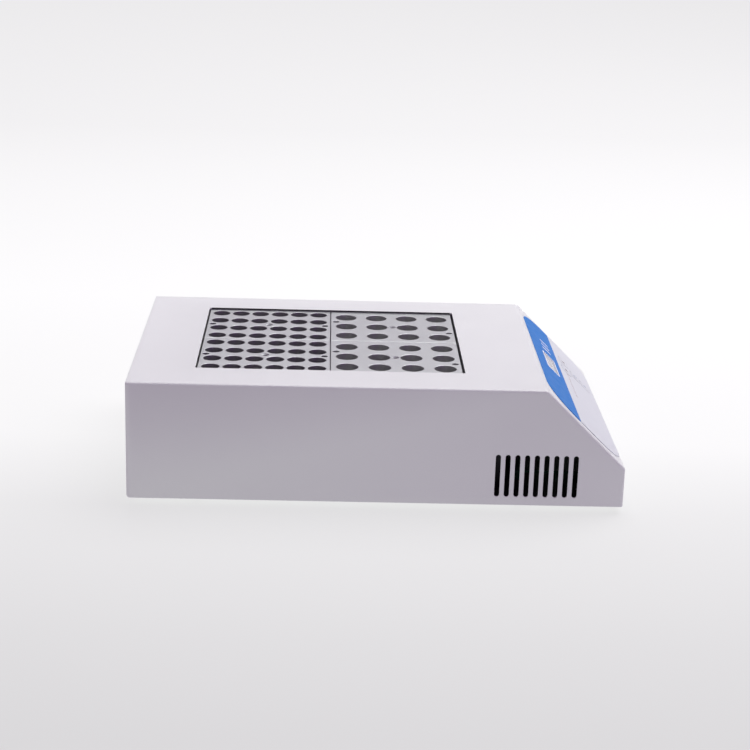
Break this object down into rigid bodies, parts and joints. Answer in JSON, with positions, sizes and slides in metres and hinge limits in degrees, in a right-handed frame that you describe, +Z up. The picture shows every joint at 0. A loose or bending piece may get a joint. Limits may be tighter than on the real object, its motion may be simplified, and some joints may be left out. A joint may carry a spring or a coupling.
{
  "type": "dry block heater",
  "caption": "Bench heater for tubes: a low sheet-steel case with a sloping control panel, and lift-out aluminium blocks drilled with rows of round wells in an opening in its top.",
  "frame": {"origin": "centre of the underside of the bounding box, on the surface that the feet stand on", "axes": "+Z up, +Y towards the rear wall with the power inlet, -Y towards the user and the control panel, -X the side that is on the left of a user who faces the panel"},
  "size_m": [0.2266, 0.356, 0.0906],
  "materials": {
    "pale_paint": "satin powder coat, pale grey with a faint lilac cast",
    "foot_rubber": "matt",
    "screw_steel": "bright zinc",
    "block_aluminium": "satin, clear anodised",
    "tray_aluminium": "mill finish",
    "silicone_rubber": "matt, fabric-faced",
    "clamp_steel": "satin",
    "mineral_wool": "fibrous",
    "ceramic": "matt",
    "probe_steel": "bright",
    "phenolic": "satin",
    "film_blue": "satin printed film, mid blue",
    "film_pale": "satin printed film, pale silver grey",
    "window_lens": "clear, glossy",
    "display_grey": "satin",
    "circuit_board": "solder-masked laminate",
    "lacquered_core": "lacquered laminations",
    "black_anodised": "black anodised",
    "black_plastic": "moulded, fine texture",
    "plated_brass": "nickel plated",
    "fuse_glass": "clear",
    "cable_sleeve": "satin",
    "silicone_lead": "satin"
  },
  "bodies": {
    "housing": {"block_tray": "tray_aluminium", "chassis": "pale_paint", "clamp_plate": "clamp_steel", "control_board": "circuit_board", "cover_screw_front_left": "screw_steel", "cover_screw_front_right": "screw_steel", "cover_screw_rear_left": "screw_steel", "cover_screw_rear_right": "screw_steel", "display_module": "display_grey", "display_window": "window_lens", "foot_front_left": "foot_rubber", "foot_front_right": "foot_rubber", "foot_rear_left": "foot_rubber", "foot_rear_right": "foot_rubber", "foot_screw_front_left": "screw_steel", "foot_screw_front_right": "screw_steel", "foot_screw_rear_left": "screw_steel", "foot_screw_rear_right": "screw_steel", "heat_sink": "black_anodised", "heater_lead": "silicone_lead", "heater_mat": "silicone_rubber", "inlet_pin_earth": "plated_brass", "inlet_pin_live": "plated_brass", "inlet_pin_neutral": "plated_brass", "insulation_base": "mineral_wool", "insulation_wrap": "mineral_wool", "mains_loom": "cable_sleeve", "panel_overlay": "film_blue", "power_board": "circuit_board", "power_inlet": "black_plastic", "sensor_lead": "cable_sleeve", "switch_housing": "black_plastic", "tact_switch_down": "black_plastic", "tact_switch_set": "black_plastic", "tact_switch_start": "black_plastic", "tact_switch_up": "black_plastic", "temperature_sensor": "probe_steel", "thermal_cutout": "phenolic", "top_cover": "pale_paint", "transformer": "lacquered_core", "tray_post_front_left": "ceramic", "tray_post_front_right": "ceramic", "tray_post_rear_left": "ceramic", "tray_post_rear_right": "ceramic", "triac": "black_plastic"},
    "block_rear_left": {"block_rear_left": "block_aluminium"},
    "block_rear_right": {"block_rear_right": "block_aluminium"},
    "block_front_left": {"block_front_left": "block_aluminium"},
    "block_front_right": {"block_front_right": "block_aluminium"},
    "key_up": {"key_up": "film_pale"},
    "key_down": {"key_down": "film_pale"},
    "key_set": {"key_set": "film_pale"},
    "key_start": {"key_start": "film_pale"},
    "fuse_carrier": {"fuse_drawer": "black_plastic", "fuse": "fuse_glass"},
    "rocker": {"switch_rocker": "black_plastic"}
  },
  "joints": [
    {"name": "block_rear_left_lift", "type": "slide", "parent": "housing", "child": "block_rear_left", "axis": [0, 0, 1], "range_m": [0, 0.052]},
    {"name": "block_rear_right_lift", "type": "slide", "parent": "housing", "child": "block_rear_right", "axis": [0, 0, 1], "range_m": [0, 0.052]},
    {"name": "block_front_left_lift", "type": "slide", "parent": "housing", "child": "block_front_left", "axis": [0, 0, 1], "range_m": [0, 0.052]},
    {"name": "block_front_right_lift", "type": "slide", "parent": "housing", "child": "block_front_right", "axis": [0, 0, 1], "range_m": [0, 0.052]},
    {"name": "key_up_press", "type": "slide", "parent": "housing", "child": "key_up", "axis": [0, 0.6984, -0.7157], "range_m": [0, 0.0004], "stiffness_N_per_m": 600},
    {"name": "key_down_press", "type": "slide", "parent": "housing", "child": "key_down", "axis": [0, 0.6984, -0.7157], "range_m": [0, 0.0004], "stiffness_N_per_m": 600},
    {"name": "key_set_press", "type": "slide", "parent": "housing", "child": "key_set", "axis": [0, 0.6984, -0.7157], "range_m": [0, 0.0004], "stiffness_N_per_m": 600},
    {"name": "key_start_press", "type": "slide", "parent": "housing", "child": "key_start", "axis": [0, 0.6984, -0.7157], "range_m": [0, 0.0004], "stiffness_N_per_m": 600},
    {"name": "fuse_drawer_slide", "type": "slide", "parent": "housing", "child": "fuse_carrier", "axis": [0, 1, 0], "range_m": [0, 0.014]},
    {"name": "rocker_tip", "type": "hinge", "parent": "housing", "child": "rocker", "pos_m": [0.018, 0.1731, 0.046], "axis": [1, 0, 0], "range_deg": [0, 18]}
  ]
}
